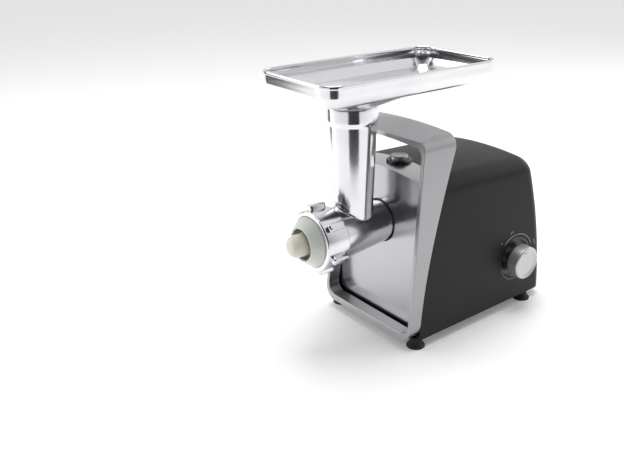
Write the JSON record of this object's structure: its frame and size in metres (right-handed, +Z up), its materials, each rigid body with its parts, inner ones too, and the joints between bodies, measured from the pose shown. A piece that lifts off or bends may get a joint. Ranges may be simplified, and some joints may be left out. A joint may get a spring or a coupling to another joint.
{
  "type": "electric meat grinder",
  "caption": "Countertop electric meat grinder with a food tray on a tall feed neck, a kebbe nozzle held by a ring nut, a carrying handle over the release button, and a side control knob.",
  "frame": {"origin": "middle of the whole object's footprint box, on the surface it stands on", "axes": "+Z up, -Y towards the nozzle, +X towards the control knob's side"},
  "size_m": [0.1949, 0.3714, 0.34],
  "materials": {
    "body_black": "satin charcoal-black moulding",
    "frame_silver": "satin silver-grey painted moulding",
    "panel_grey": "satin light grey moulding",
    "gloss_black": "gloss black",
    "button_steel": "brushed steel-look cap",
    "knob_silver": "satin silver",
    "cast_aluminium": "polished casting",
    "tray_metal": "polished stamping",
    "nozzle_plastic": "greenish-white, slightly translucent",
    "core_plastic": "ivory white",
    "feet_rubber": "matte black",
    "nylon": "natural nylon",
    "gearbox_plastic": "glass-filled moulding",
    "steel": "machined steel",
    "auger_metal": "cast",
    "bronze": "sintered bronze",
    "laminations": "varnished laminations",
    "bracket_metal": "die-cast",
    "copper": "enamelled copper",
    "brush_brass": "pressed",
    "carbon": "carbon",
    "board_green": "circuit board"
  },
  "bodies": {
    "housing": {"main_shell": "body_black", "base_plate": "body_black", "front_frame": "frame_silver", "front_panel": "panel_grey", "top_deck": "panel_grey", "button_bezel": "gloss_black", "knob_dish": "gloss_black", "rotary_switch": "gearbox_plastic", "cord_inlet": "gloss_black", "base_screws": "steel", "control_board": "board_green", "head_socket": "gearbox_plastic", "gearbox_cover": "gearbox_plastic", "gearbox_housing": "gearbox_plastic", "gearbox_screws": "steel", "gear_pins": "steel", "output_bearing": "bronze", "motor_stator": "laminations", "field_coils": "copper", "motor_front_bracket": "bracket_metal", "motor_rear_bracket": "bracket_metal", "motor_front_bearing": "steel", "motor_rear_bearing": "steel", "motor_bolts": "steel", "brush_holders": "brush_brass", "carbon_brushes": "carbon", "foot_front_left": "feet_rubber", "foot_front_right": "feet_rubber", "foot_rear_left": "feet_rubber", "foot_rear_right": "feet_rubber"},
    "button": {"release_button": "button_steel", "latch_slider": "gearbox_plastic", "button_spring": "steel"},
    "knob": {"control_knob": "knob_silver", "switch_spindle": "steel"},
    "drive_line": {"output_gear": "nylon", "output_shaft": "steel", "drive_bush": "nylon", "auger": "auger_metal"},
    "second_gear": {"second_wheel": "nylon", "second_pinion": "steel"},
    "first_gear": {"first_wheel": "nylon", "first_pinion": "steel"},
    "rotor": {"motor_shaft": "steel", "motor_pinion": "steel", "armature_core": "laminations", "armature_winding": "copper", "commutator": "copper", "cooling_fan": "nylon"},
    "head": {"grinding_head": "cast_aluminium", "head_bush": "nylon", "kebbe_core": "core_plastic"},
    "tray": {"food_tray": "tray_metal"},
    "nozzle": {"kebbe_nozzle": "nozzle_plastic"},
    "ring_nut": {"ring_nut": "cast_aluminium"}
  },
  "joints": [
    {"name": "drive_spin", "type": "hinge", "parent": "housing", "child": "drive_line", "pos_m": [-0.00925, -0.09175, 0.146], "axis": [0, 1, 0], "continuous": true},
    {"name": "second_gear_spin", "type": "hinge", "parent": "housing", "child": "second_gear", "pos_m": [-0.04058, -0.00175, 0.10865], "axis": [0, 1, 0], "continuous": true},
    {"name": "first_gear_spin", "type": "hinge", "parent": "housing", "child": "first_gear", "pos_m": [-0.03726, 0.00825, 0.0713], "axis": [0, 1, 0], "continuous": true},
    {"name": "rotor_spin", "type": "hinge", "parent": "housing", "child": "rotor", "pos_m": [-0.00925, 0.05825, 0.078], "axis": [0, 1, 0], "continuous": true},
    {"name": "head_turn", "type": "hinge", "parent": "housing", "child": "head", "pos_m": [-0.00925, -0.03675, 0.146], "axis": [0, 1, 0], "range_deg": [0, 45]},
    {"name": "tray_lift", "type": "slide", "parent": "head", "child": "tray", "axis": [0, 0, 1], "range_m": [0, 0.03]},
    {"name": "ring_nut_turn", "type": "hinge", "parent": "nozzle", "child": "ring_nut", "pos_m": [-0.00925, -0.14175, 0.146], "axis": [0, 1, 0], "range_deg": [0, 720]},
    {"name": "nozzle_slide", "type": "slide", "parent": "head", "child": "nozzle", "axis": [0, -1, 0], "range_m": [0, 0.008]},
    {"name": "button_press", "type": "slide", "parent": "housing", "child": "button", "axis": [0, 0, -1], "range_m": [0, 0.004], "stiffness_N_per_m": 900, "springref_m": -0.002, "deforming": ["button_spring"]},
    {"name": "knob_turn", "type": "hinge", "parent": "housing", "child": "knob", "pos_m": [0.08575, 0.12125, 0.071], "axis": [-1, 0, 0], "range_deg": [-42, 67]}
  ],
  "couplings": [
    {"joint": "second_gear_spin", "follows": "drive_spin", "ratio": -4},
    {"joint": "first_gear_spin", "follows": "drive_spin", "ratio": 16},
    {"joint": "rotor_spin", "follows": "drive_spin", "ratio": -80},
    {"joint": "nozzle_slide", "follows": "ring_nut_turn", "m_per_rad": 0.00063662}
  ]
}
